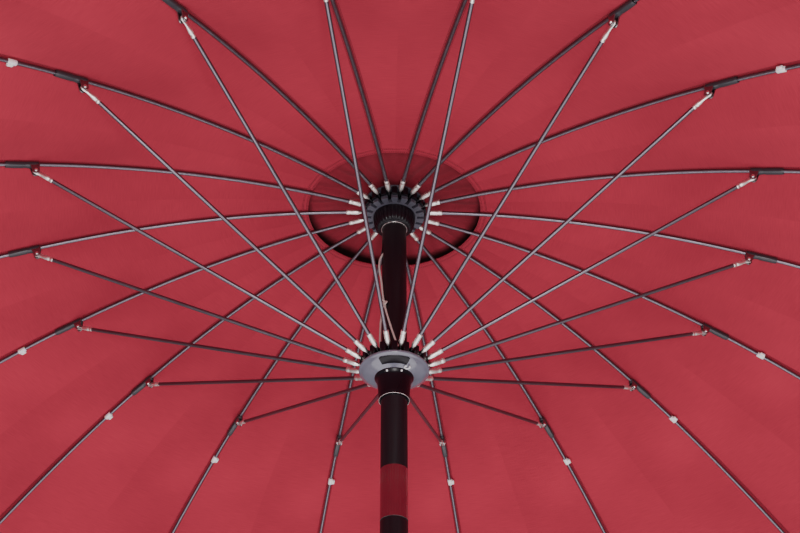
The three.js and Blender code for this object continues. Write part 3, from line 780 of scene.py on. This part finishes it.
def canopy_rows(side):
    """Rows of the cloth's skin, from the vent's edge to the rim; side is 0 below and 1 above."""
    across = [-1, -0.9, -0.75, -0.6, -0.45, -0.32, -0.2, -0.12, -0.07]
    hem_stops = [0, 1.6, 3.2, 9.6, HEM / MM - 0.6, HEM / MM + 0.2]
    lengths = [CLOTH_IN + s * MM for s in hem_stops]
    spread = 44
    inner, outer = CLOTH_IN + 20 * MM, CLOTH_OUT - RIM_HEM - 8 * MM
    lengths += [inner + (outer - inner) * k / spread for k in range(spread + 1)]
    lengths += [CLOTH_OUT - RIM_HEM - 0.2 * MM, CLOTH_OUT - RIM_HEM + 0.6 * MM, CLOTH_OUT - 12 * MM,
                CLOTH_OUT - 2 * MM, CLOTH_OUT]
    rows, uvs = [], []
    for x in lengths:
        hem = x < CLOTH_IN + HEM or x > CLOTH_OUT - RIM_HEM
        welt = WELT / (PIVOT_R + x) / HALF_GORE
        marks = sorted(across + [-1.25 * welt, -welt])
        marks = marks + [0] + [-m for m in reversed(marks)]
        near_rim = max(0.0, (x - (CLOTH_OUT - SCALLOP_SPAN)) / SCALLOP_SPAN)
        near_vent = math.exp(-(x - CLOTH_IN) / 0.07) * min(1.0, (x - CLOTH_IN) / 0.01)
        row, uv = [], []
        for t in marks:
            pull = RIM_SCALLOP * math.sin(math.pi * abs(t) / 2) ** 1.5
            extra = 0.45 * MM if hem else 0
            extra += 0.5 * MM if abs(t) <= welt * 1.01 else 0
            lift = CLOTH_LIFT + RIM_LIFT * min(1.0, max(0.0, (x - RIM_LIFT_FROM) / RIM_LIFT_SPAN))
            if side:
                lift += CLOTH_THICK + extra
            elif abs(t) > welt * 1.3:
                lift -= extra
            calm = math.sin(math.pi * abs(t))
            ripple = noise.noise(Vector((t * 2.1, x * 7.0, 3.7))) * 0.9 * MM * calm
            ripple += near_vent * calm * 1.1 * MM * math.sin(9.5 * t + 14 * x + 2 * math.sin(5 * t))
            row.append(cloth_point(t, x - pull * near_rim, lift + ripple))
            uv.append((t * (PIVOT_R + x) * HALF_GORE, x))
        rows.append(row)
        uvs.append(uv)
    return rows, uvs


def sheet_shape(below, above, uv, material, lining=None):
    """A thin closed skin between two sheets of rows that share their edges' order."""
    shape = Shape()
    shape.grid(below, lining or material, uv=uv)
    shape.grid(above, material, uv=uv)
    for r in (0, -1):
        shape.grid([below[r], above[r]], material, uv=[uv[r], uv[r]])
    for c in (0, -1):
        low, high, edge = ([row[c] for row in rows] for rows in (below, above, uv))
        shape.grid([low, high], material, uv=[edge, edge])
    return shape


# Bands of each panel as (distance where the band ends, share of its width it keeps when folded).
BANDS = [(0.28, 0.42), (0.44, 0.345), (0.62, 0.275), (0.80, 0.21), (0.97, 0.152), (1.08, 0.1),
         (CLOTH_OUT, 0.086)]


def add_canopy():
    below, uv = canopy_rows(0)
    above, _ = canopy_rows(1)
    along = [row[len(row) // 2][1] for row in uv]
    first = 0
    for band, (end, keep) in enumerate(BANDS):
        last = min(range(len(along)), key=lambda k: abs(along[k] - end))
        under, over = below[first:last + 1], above[first:last + 1]
        shape = sheet_shape(under, over, uv[first:last + 1], "cloth")
        pattern = shape.make("canopy_pattern", smooth=60)
        for i in range(RIBS):
            label = f"{i + 1:02d}"
            piece = copied(pattern, f"canopy_panel_{label}_{band + 1}", Matrix.Rotation(rib_angle(i), 4, "Z"),
                           f"rib_{label}", "canopy")
            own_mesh(piece)
        bpy.data.objects.remove(pattern)
        first = last


CAP_IN = 23 * MM
CAP_OUT = 213 * MM


def cap_height(r):
    """The vent cap's underside over the crown, falling to its rim just above the canopy."""
    profile = [(0.0, 29.5), (0.03, 28.5), (0.06, 27.0), (0.10, 23.0), (0.14, 18.5), (0.18, 13.5), (0.22, 8.6)]
    for (r0, z0), (r1, z1) in zip(profile, profile[1:]):
        if r <= r1:
            return CROWN_Z + (z0 + (z1 - z0) * (r - r0) / (r1 - r0)) * MM
    return CROWN_Z + profile[-1][1] * MM


CAP_STEPS = 26
CAP_MARKS = [-1, -0.86, -0.7, -0.52, -0.34, -0.18, -0.07, 0, 0.07, 0.18, 0.34, 0.52, 0.7, 0.86, 1]


def cap_rows(i, side):
    """Rows of one gore of the vent cap, from the pole outwards; side is 0 below and 1 above."""
    rows, uvs = [], []
    for k in range(CAP_STEPS + 1):
        r = CAP_IN + (CAP_OUT - CAP_IN) * k / CAP_STEPS
        hem = 0.5 * MM if r > CAP_OUT - 12 * MM else 0
        row, uv = [], []
        for t in CAP_MARKS:
            angle = rib_angle(i) + t * HALF_GORE
            crease = 0.0025 * math.sin(math.pi * (abs(t) / 2)) * min(1.0, r / 0.1)
            wave = noise.noise(Vector((math.cos(angle) * 1.9, math.sin(angle) * 1.9, r * 14)))
            fold = 0.009 * wave * min(1.0, r / 0.07) * max(0.0, 1 - max(0.0, r - 0.13) / 0.07)
            z = cap_height(r) - crease + fold + (CLOTH_THICK + hem if side else -hem)
            reach = r * (math.cos(HALF_GORE) / math.cos(HALF_GORE * (1 - abs(t))))
            row.append(Vector((reach * math.cos(angle), reach * math.sin(angle), z)))
            uv.append((t * r * HALF_GORE, r))
        rows.append(row)
        uvs.append(uv)
    return rows, uvs


def add_vent_cap():
    for i in range(RIBS):
        label = f"{i + 1:02d}"
        below, uvs = cap_rows(i, 0)
        above, _ = cap_rows(i, 1)
        shape = sheet_shape(below, above, uvs, "cap_cloth", "cap_lining")
        piece = shape.make(f"vent_cap_{label}", smooth=60)
        out = Vector((math.cos(rib_angle(i)), math.sin(rib_angle(i)), 0))
        start, end = out * 0.030, out * 0.115
        start.z = end.z = CROWN_Z
        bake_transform(piece)
        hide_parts("vent_cap")


# ---------------------------------------------------------------- crown and runner
TOOTH_CORNER = 1.2


def teeth(shape, inner, outer, low, high, mouth, material):
    """The blocks between the slots of a hub, from an inner to an outer radius, in millimetres."""
    half_in = math.asin(mouth / 2 / inner)
    half_out = math.asin(mouth / 2 / outer)
    for i in range(RIBS):
        start = rib_angle(i)
        points = []
        for k in range(9):
            f = k / 8
            angle = start + half_out + (2 * HALF_GORE - 2 * half_out) * f
            ease = TOOTH_CORNER * max(0.0, 1 - min(f, 1 - f) * 9) ** 2
            points.append(((outer - ease) * math.cos(angle), (outer - ease) * math.sin(angle)))
        points += arc(0, 0, inner, start + 2 * HALF_GORE - half_in, -(2 * HALF_GORE - 2 * half_in), 4)
        rows = [[Vector((x, y, z)) * MM for x, y in points] for z in (low, high)]
        shape.hull_rows(rows, material)


FLUTES = 30


def flute(angle, k):
    depth = 0.04 if 1 <= k <= 11 else 0.0
    return 1 - depth * (0.5 - 0.5 * math.cos(FLUTES * angle)) ** 2


def add_crown():
    z = CROWN_Z / MM
    shape = Shape()
    teeth(shape, 35, 47.6, z - 11, z - 4.4, 5.2, "crown")
    teeth(shape, 35, 51, z - 4, z + 11, 8.6, "neck")
    turned(shape, [(19.4, -4), (36.4, -4), (36.4, 11), (19.4, 11)], "neck", base=z)
    turned(shape, [(19.4, -11.1), (33, -11.1), (36.5, -11.0), (36.5, -4.3), (19.4, -4.3)], "crown", base=z)

    # Fluted collar, a rounded bowl that closes on the pole above a thin lip.
    bowl = []
    for k in range(12):
        turn = math.pi / 2 * k / 11
        bowl.append((24.0 + 9.2 * math.sin(turn) ** 0.9, -35.2 + 22 * (1 - math.cos(turn))))
    turned(shape, [(20.2, -35.4)] + bowl + [(33.4, -10.6), (20.2, -10.6)], "neck", 240, flute, z)
    turned(shape, [(19.3, -36.8), (20.4, -36.8), (21.6, -36.4), (22.2, -35.6), (24.2, -35.0), (19.3, -34.6)],
           "neck", base=z)
    turned(shape, [(19.5, -37.3), (20.2, -37.4), (20.6, -37.0), (20.4, -36.5), (19.5, -36.6)], "lip", base=z)
    settle(shape.make("crown_fine", bevel=0.5 * MM), "root", "crown")

    wire = Shape()
    turned(wire, arc(44, 0, 1.2, 0, 2 * math.pi * 11 / 12, 11), "eye", 120, base=z)
    settle(wire.make("crown_wire_fine"), "root", "crown_pivot_wire")
    low = z + 11.3
    turned_piece("crown_cap_fine", [(8.5, low), (49.5, low), (50, low + 0.6), (50, low + 3), (47, low + 5),
                                    (18, low + 5.4), (17, low + 6.4), (17, low + 15), (8.5, low + 15)],
                 "crown", "crown_cap", 128)
    low = z + 14
    seat = z + 31.5
    turned_piece("finial_fine", [(0, low), (7.9, low), (7.9, seat), (26, seat), (27, seat + 1), (27, seat + 3),
                                 (25.5, seat + 4.4), (18, seat + 6.8), (14.2, seat + 10), (12.2, seat + 14),
                                 (12.0, seat + 17), (14, seat + 21), (18, seat + 26), (20.4, seat + 32),
                                 (21, seat + 38), (20.3, seat + 45), (18, seat + 51), (14, seat + 57),
                                 (9, seat + 61), (4.5, seat + 63.4), (0, seat + 64)],
                 "crown", "finial", 128)


def add_runner():
    z = RUNNER_Z / MM
    shape = Shape()
    teeth(shape, 35, 51.3, z - 6.2, z + 10.6, 8.6, "neck")
    turned(shape, [(21.3, -6.4), (36.4, -6.4), (36.4, 10.8), (21.3, 10.8)], "neck", base=z)

    # Glossy dish under the pivots, rolled at its rim, with a dull neck below it.
    dish = [(28.0, -21.0), (30, -19.9), (34, -18.4), (38, -17.0), (42, -15.6), (45.4, -13.8), (47.6, -11.8),
            (49.2, -10.4), (51.0, -9.6), (51.5, -8.8), (51.5, -6.8), (51.0, -6.0), (28.0, -6.0)]
    neck = [(21.3, -59.6), (22.0, -59.6), (22.3, -59.1), (22.7, -48), (23.5, -38), (24.9, -28), (25.8, -24.2),
            (27.6, -22.6), (28.6, -20.8), (28.4, -17), (21.3, -17)]
    lip = [(21.5, -60.0), (22.1, -60.1), (22.5, -59.8), (22.3, -59.4), (21.5, -59.4)]
    for profile, material in ((dish, "runner"), (neck, "neck"), (lip, "lip")):
        turned(shape, profile, material, 160, base=z)

    # A dark sheet laid on the dish's near side, painted shade standing in for a recess there; the end of the
    # cord's hook beside it; and two small light domes on the neck.
    painted_pocket_shade = []
    for radius, drop in ((35.6, -18.4), (36.2, -18.6), (41.8, -16.7), (47.0, -13.9), (47.6, -13.0)):
        half = 29 if 36 < radius < 47.2 else 26
        painted_pocket_shade.append([pole_point(radius, -90 + half * k / 14, z + drop) for k in range(-14, 15)])
    shape.grid(painted_pocket_shade, "neck")
    hook_at = math.radians(-57)
    centre = Vector((34 * math.cos(hook_at), 34 * math.sin(hook_at), z - 19.6))
    loop = []
    for k in range(13):
        angle = math.radians(-40 + 25 * k)
        sag = -0.6 - 0.9 * math.sin(math.pi * k / 12)
        loop.append((centre + Vector((3.8 * math.cos(angle), 3.8 * math.sin(angle) * 0.8, sag))) * MM)
    shape.tube(loop, [1.2 * MM] * 13, "cord_end", 12, Vector((0, 0, 1)))
    for angle in (math.radians(-113), math.radians(-67)):
        out = Vector((math.cos(angle), math.sin(angle), 0))
        seat = out * 26.8 + Vector((0, 0, z - 23.6))
        ahead = (out + Vector((0, 0, -1))).normalized()
        shape.tube([(seat + ahead * step) * MM for step in (0, 0.9, 1.4, 1.6)],
                   [1.7 * MM, 1.6 * MM, 1.0 * MM, 0.2 * MM], "cord_end", 16, Vector((0, 0, 1)))
    settle(shape.make("runner_fine", bevel=0.45 * MM), "runner", "runner")
    low = z - 60
    turned_piece("runner_liner_fine", [(19.6, low), (21.9, low), (22.4, low + 0.5), (22.4, low + 2.2),
                                       (22.0, low + 2.6), (20.9, low + 2.7), (20.9, z + 10), (19.6, z + 10)],
                 "neck", "runner_liner", 128, 0.2 * MM, "runner")


# ---------------------------------------------------------------- pole, pulley and cords
CORD_SIDE = math.radians(195)
PULLEY_Z = 2224 * MM
POLE_R = 19.0
POLE_IN_R = 17.5
UPPER_FROM, UPPER_TO = 1827.3, 2310
LOWER_FROM, LOWER_TO = 24, 1746.7
SLOT_FROM, SLOT_TO = 2190, 2236
SLOT_HALF = 3.0 / 19
SLEEVE_FROM, SLEEVE_TO = 1747, 1827


def add_pole():
    # Upper tube, with the slot through its wall where the cord comes out over the pulley.
    shape = Shape()
    sides = 144
    levels = [UPPER_FROM, UPPER_FROM + 0.9]
    levels += [SLOT_FROM + 2 * k for k in range(24)]
    levels += [UPPER_TO - 0.6, UPPER_TO]
    sweep = 2 * math.pi - 2 * SLOT_HALF

    def around(radius, level):
        angles = [CORD_SIDE + SLOT_HALF + sweep * s / (sides - 1) for s in range(sides)]
        return [Vector((radius * math.cos(angle), radius * math.sin(angle), level)) * MM for angle in angles]

    outer = [around(18.6 if level in (UPPER_FROM, UPPER_TO) else POLE_R, level) for level in levels]
    inner = [around(POLE_IN_R, level) for level in levels]
    for rows in (outer, inner):
        shape.grid(rows, "pole")
    for s in (0, -1):
        shape.grid([[row[s] for row in outer], [row[s] for row in inner]], "pole")
    for low, high in ((UPPER_FROM, SLOT_FROM), (SLOT_TO, UPPER_TO)):
        strip = []
        for level in (low, (low + high) / 2, high):
            angles = [CORD_SIDE + SLOT_HALF * share for share in (-1, -0.5, 0, 0.5, 1)]
            strip.append([Vector((POLE_R * math.cos(a), POLE_R * math.sin(a), level)) * MM for a in angles])
        lining = [[Vector((p.x * POLE_IN_R / POLE_R, p.y * POLE_IN_R / POLE_R, p.z)) for p in row]
                  for row in strip]
        shape.grid(strip, "pole")
        shape.grid(lining, "pole")
        for k in (0, -1):
            shape.grid([strip[k], lining[k]], "pole")
    for k in (0, -1):
        shape.grid([outer[k], inner[k]], "pole")
    settle(shape.make("upper_pole_fine", solid_normals=False), "root", "upper_pole")

    turned_piece("pole_sleeve_fine", [(14.2, SLEEVE_FROM - 70), (17.0, SLEEVE_FROM - 70),
                                      (17.2, SLEEVE_FROM - 69), (17.2, SLEEVE_FROM), (18.9, SLEEVE_FROM),
                                      (19.3, SLEEVE_FROM + 0.6), (19.3, SLEEVE_TO - 0.6), (18.9, SLEEVE_TO),
                                      (17.2, SLEEVE_TO), (17.2, SLEEVE_TO + 69), (17.0, SLEEVE_TO + 70),
                                      (14.2, SLEEVE_TO + 70)],
                 "sleeve", "pole_sleeve", 160, 0)
    # A thin bright metal bead down the sleeve's front right, where the sleeve shows its edge highlight: a
    # painted highlight.
    seam = Shape()
    angle = math.radians(-26)
    at = Vector((19.25 * math.cos(angle), 19.25 * math.sin(angle), 0))
    start, end = (at + Vector((0, 0, z)) for z in (SLEEVE_FROM + 1, SLEEVE_TO - 1))
    axle(seam, start * MM, end * MM, 0.45 * MM, "lip", 12)
    settle(seam.make("pole_sleeve_highlight_bead"), "root")
    turned_piece("lower_pole_fine", [(POLE_IN_R, LOWER_FROM), (18.6, LOWER_FROM), (POLE_R, LOWER_FROM + 0.6),
                                     (POLE_R, LOWER_TO - 0.5), (18.6, LOWER_TO), (POLE_IN_R, LOWER_TO)],
                 "pole", "lower_pole", 144, 0)


CORD_R = 1.5 * MM
CORD_ROUTE = [(15.2, 195, 2215), (21.6, 195, 2202), (24.2, 197, 2188), (23.4, 200, 2170), (21.7, 206, 2150),
              (21.4, 214, 2128), (21.4, 225, 2105), (21.4, 242, 2079), (21.4, 259, 2054), (22.6, 275, 2032),
              (26, 289, 2013.2)]


def cord_piece(name, points, radius=CORD_R, count=120):
    path = cubic(points, count)
    shape = Shape()
    sides = 14
    rows, uvs = [], []
    run = 0.0
    side = Vector((0.3, 0.9, 0.1)).normalized()
    for k, centre in enumerate(path):
        ahead = (path[min(k + 1, count)] - path[max(k - 1, 0)]).normalized()
        side = (side - ahead * side.dot(ahead)).normalized()
        up = ahead.cross(side)
        run += (centre - path[k - 1]).length if k else 0
        turns = [2 * math.pi * s / sides for s in range(sides)]
        rows.append([centre + (side * math.cos(a) + up * math.sin(a)) * radius for a in turns])
        uvs.append([(s / sides, run) for s in range(sides)])
    shape.hull_rows(rows, "cord", uv=uvs)
    return shape.make(name), path, run


def knot(name, centre, size, body):
    """An overhand knot: a closed wandering loop of cord pulled tight."""
    points = []
    for k in range(25):
        t = 2 * math.pi * k / 24
        offset = Vector(((math.sin(t) + 2 * math.sin(2 * t)) * 0.30, -math.sin(3 * t) * 0.42,
                         (math.cos(t) - 2 * math.cos(2 * t)) * 0.42))
        points.append(centre + offset * size)
    piece, _, _ = cord_piece(name, points, CORD_R * 0.95, 96)
    settle(piece, body)
    return piece


def add_cords():
    exit_at = pole_point(*CORD_ROUTE[0])
    free, path, length = cord_piece("lift_cord_run", [pole_point(*p) for p in CORD_ROUTE])
    low = Vector((0, 0, 2022)) * MM
    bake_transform(free)
    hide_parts("lift_cord")

    # The strand on the other side of the pole: from the runner's top to the knot, which rides with it.
    low = Vector((-20.6, -9.5, 2012)) * MM
    tie = pole_point(23.6, 228, 2104)
    tail_points = [low, Vector((-20.9, -10.5, 2040)) * MM, Vector((-20.0, -13.6, 2072)) * MM, tie]
    tail, tail_path, tail_length = cord_piece("cord_tail", tail_points, CORD_R, 60)
    settle(tail, "runner")
    tied = knot("cord_knot", tie, 5.2 * MM, "runner")
    foot = knot("cord_foot_knot", pole_point(26.4, 289, 2012.6), 3.2 * MM, "runner")

    # Over the pulley and down inside the pole to the winch's drum.
    sideways = Vector((math.cos(CORD_SIDE), math.sin(CORD_SIDE), 0))
    run = 9.2 * MM
    centre = sideways * 3.5 * MM + Vector((0, 0, PULLEY_Z))
    over = []
    for k in range(9):
        angle = math.pi * (1 - k / 8)
        over.append(centre + sideways * run * math.cos(angle) + Vector((0, 0, run * math.sin(angle))))
    over.append(exit_at)
    piece, _, _ = cord_piece("lift_cord_over_pulley", over, CORD_R, 48)
    settle(piece, "root")
    inner = centre - sideways * run
    descent = [Vector((0, run, 945.3 * MM)), Vector((0, run, 1005 * MM)),
               Vector((inner.x, inner.y, PULLEY_Z - 60 * MM)), Vector((inner.x, inner.y, PULLEY_Z - 0.6 * MM))]
    piece, _, _ = cord_piece("lift_cord_inner_run", descent, CORD_R, 60)
    settle(piece, "root", "lift_cord_inner")


# ---------------------------------------------------------------- winch
WINCH_Z = 945
CRANK_REACH = 88
CRANK_Z = WINCH_Z - CRANK_REACH


def housing_outline(grow):
    points = arc(-4, 0, 24 + grow, math.pi / 2, math.pi, 28)
    points += [(30, -(20.8 + grow)), (44, -(20 + grow))]
    points += arc(45 + grow * 0.5, -(13.5 + grow), 6.5, -math.pi / 2, math.pi / 2, 8)
    points += arc(45 + grow * 0.5, 13.5 + grow, 6.5, 0, math.pi / 2, 8)
    points += [(44, 20 + grow), (30, 20.8 + grow)]
    return points


def finish_node(name, material):
    """Gives a CAD node that stays its finish."""
    for slot in frame["nodes"][name].material_slots:
        slot.material = MATERIALS[material]


def add_winch():
    shape = Shape()
    levels = [(-46, 0.0), (-45.4, 1.6), (-43.6, 3.2), (-41, 4.0), (-0.9, 4.0), (-0.5, 3.3), (0.5, 3.3),
              (0.9, 4.0), (41, 4.0), (43.6, 3.2), (45.4, 1.6), (46, 0.0)]
    rows = [[Vector((x, y, WINCH_Z + h)) * MM for x, y in housing_outline(grow)] for h, grow in levels]
    shape.hull_rows(rows, "plastic")
    for h in (-30, 30):
        for side in (-1, 1):
            y = side * 24.4 * MM
            at = Vector((8 * MM, y, (WINCH_Z + h) * MM))
            axle(shape, at - Vector((0, side * 1.6 * MM, 0)), at + Vector((0, side * 0.5 * MM, 0)), 4.4 * MM,
                 "neck", 28)
            axle(shape, at + Vector((0, side * 0.3 * MM, 0)), at + Vector((0, side * 1.1 * MM, 0)), 2.9 * MM,
                 "lip", 6, 2.7 * MM)
    settle(shape.make("winch_housing_fine", bevel=0.6 * MM), "root", "winch_housing")

    finish_node("winch_drum", "plastic")
    finish_node("cord_pulley", "plastic")
    finish_node("pulley_pin", "lip")

    # Crank: an arm that narrows downwards with a cover plate, its hub, and the pin that the knob turns on.
    shape = Shape()
    arm = arc(0, 0, 14, 0, math.pi, 24) + arc(0, -CRANK_REACH, 9, math.pi, math.pi, 16)
    for low, high in ((54.2, 64), (64, 66)):
        rows = [[Vector((x, y, WINCH_Z + h)) * MM for y, h in arm] for x in (low, high)]
        shape.hull_rows(rows, "plastic")
    for low, high, z, radius, end_radius, material, sides in (
            (65.6, 69, WINCH_Z, 9.5, 8.6, "plastic", 48), (68.8, 70.2, WINCH_Z, 4.2, 3.9, "lip", 6),
            (60, 96, CRANK_Z, 4, 4, "lip", 32), (94, 97, CRANK_Z, 6.5, 5.6, "lip", 32)):
        axle(shape, Vector((low, 0, z)) * MM, Vector((high, 0, z)) * MM, radius * MM, material, sides,
             end_radius * MM)
    settle(shape.make("crank_arm_fine", bevel=0.8 * MM), "winch_crank", "crank_arm")

    knob = Shape()
    profile = [(4.5, 0), (8.4, 0), (9.6, 1.2), (11.2, 4.2), (12.2, 8), (12.6, 13), (12.2, 18), (11.0, 22.5),
               (9.6, 24.6), (7, 25.5), (4.5, 25.5)]
    rows = []
    for reach, along in profile:
        row = []
        for s in range(96):
            angle = 2 * math.pi * s / 96
            ridge = 1 - (0.018 * (0.5 - 0.5 * math.cos(16 * angle)) if 3 < along < 23 else 0)
            row.append(Vector((67.2 + along, reach * ridge * math.cos(angle),
                               CRANK_Z + reach * ridge * math.sin(angle))) * MM)
        rows.append(row)
    knob.grid(rows + [rows[0]], "plastic", wrap=True)
    settle(knob.make("crank_knob_fine", bevel=0.3 * MM), "crank_knob", "crank_knob")


# ---------------------------------------------------------------- base
CLAMP_Z = 330


def add_base():
    turned_piece("base_weight_fine", [(0, 6), (243, 6), (246.5, 7.2), (249, 9.6), (250, 13), (250, 32),
                                      (249, 36.4), (246, 40.4), (241, 43.6), (226, 47.4), (190, 55),
                                      (130, 61.6), (62, 67.6), (56, 68), (24.3, 68), (24.3, 20), (0, 20)],
                 "weight", "base_weight", 192, 0.8 * MM)
    turned_piece("base_foot_ring_fine", [(206, 0), (234, 0), (235, 1), (235, 5.7), (205, 5.7), (205, 1)],
                 "rubber", "base_foot_ring", 160, 0.3 * MM)
    shape = Shape()
    turned(shape, [
        (22, 22), (24, 22), (24, 68.3), (54.8, 68.3), (56, 69.2), (56, 71), (54.8, 72.2), (30.5, 73.4),
        (27.4, 74.6), (25.4, 77), (24.4, 80.5), (24, 84), (24, 419), (23.4, 420), (22.5, 420), (22, 419.4)],
        "pole", 144)
    for x, y in arc(0, 0, 43, math.pi / 4, 3 * math.pi / 2, 3):
        at = Vector((x, y, 72.4)) * MM
        axle(shape, at, at + Vector((0, 0, 1.0)) * MM, 7.4 * MM, "lip", 40)
        axle(shape, at + Vector((0, 0, 1.0)) * MM, at + Vector((0, 0, 5.2)) * MM, 5.2 * MM, "lip", 6)
    boss = Vector((0, -1, 0))
    knob_at = Vector((0, 0, CLAMP_Z)) * MM
    axle(shape, knob_at + boss * 22.6 * MM, knob_at + boss * 36 * MM, 9 * MM, "pole", 40, 8.6 * MM)
    settle(shape.make("base_tube_fine", bevel=0.4 * MM), "root", "base_tube")
    turned_piece("base_bushing_fine", [(19.3, 200), (21.7, 200), (21.7, 420.3), (26.4, 420.3), (27, 421),
                                       (27, 423.6), (26, 425.4), (23.4, 428.2), (22, 429), (19.8, 429),
                                       (19.3, 428.4)], "plastic", "base_bushing", 128, 0.3 * MM)

    # Clamp knob: a lobed grip with a domed face, on a threaded stem.
    shape = Shape()
    rows = []
    for along, share in ((-42, 0.90), (-42.8, 0.96), (-44.4, 1.0), (-56.4, 1.0), (-58.6, 0.965), (-60, 0.88)):
        row = []
        for s in range(120):
            angle = 2 * math.pi * s / 120
            reach = (19 + 3 * math.cos(6 * angle)) * share
            row.append(Vector((reach * math.cos(angle), along, CLAMP_Z + reach * math.sin(angle))) * MM)
        rows.append(row)
    shape.hull_rows(rows, "plastic")
    for near, far, end_radius, material, sides in (
            (-59.9, -60.2, 9.4, "neck", 48), (-38, -43, 10, "plastic", 40)):
        axle(shape, Vector((0, near, CLAMP_Z)) * MM, Vector((0, far, CLAMP_Z)) * MM, 10 * MM, material, sides,
             end_radius * MM)
    turns = 80
    thread = [Vector((0, -(19.4 + 0.25 * k), CLAMP_Z)) * MM for k in range(turns)]
    radii = [(4.0 if (k // 2) % 2 else 3.55) * MM for k in range(turns)]
    shape.tube(thread, radii, "lip", 24, Vector((1, 0, 0)))
    settle(shape.make("base_knob_fine", bevel=0.5 * MM), "base_knob", "base_knob")


# ---------------------------------------------------------------- assembly
add_camera()
add_cords()
add_spokes()
add_crown()
add_canopy()
add_vent_cap()
add_runner()
add_pole()
add_winch()
add_base()
add_stage()
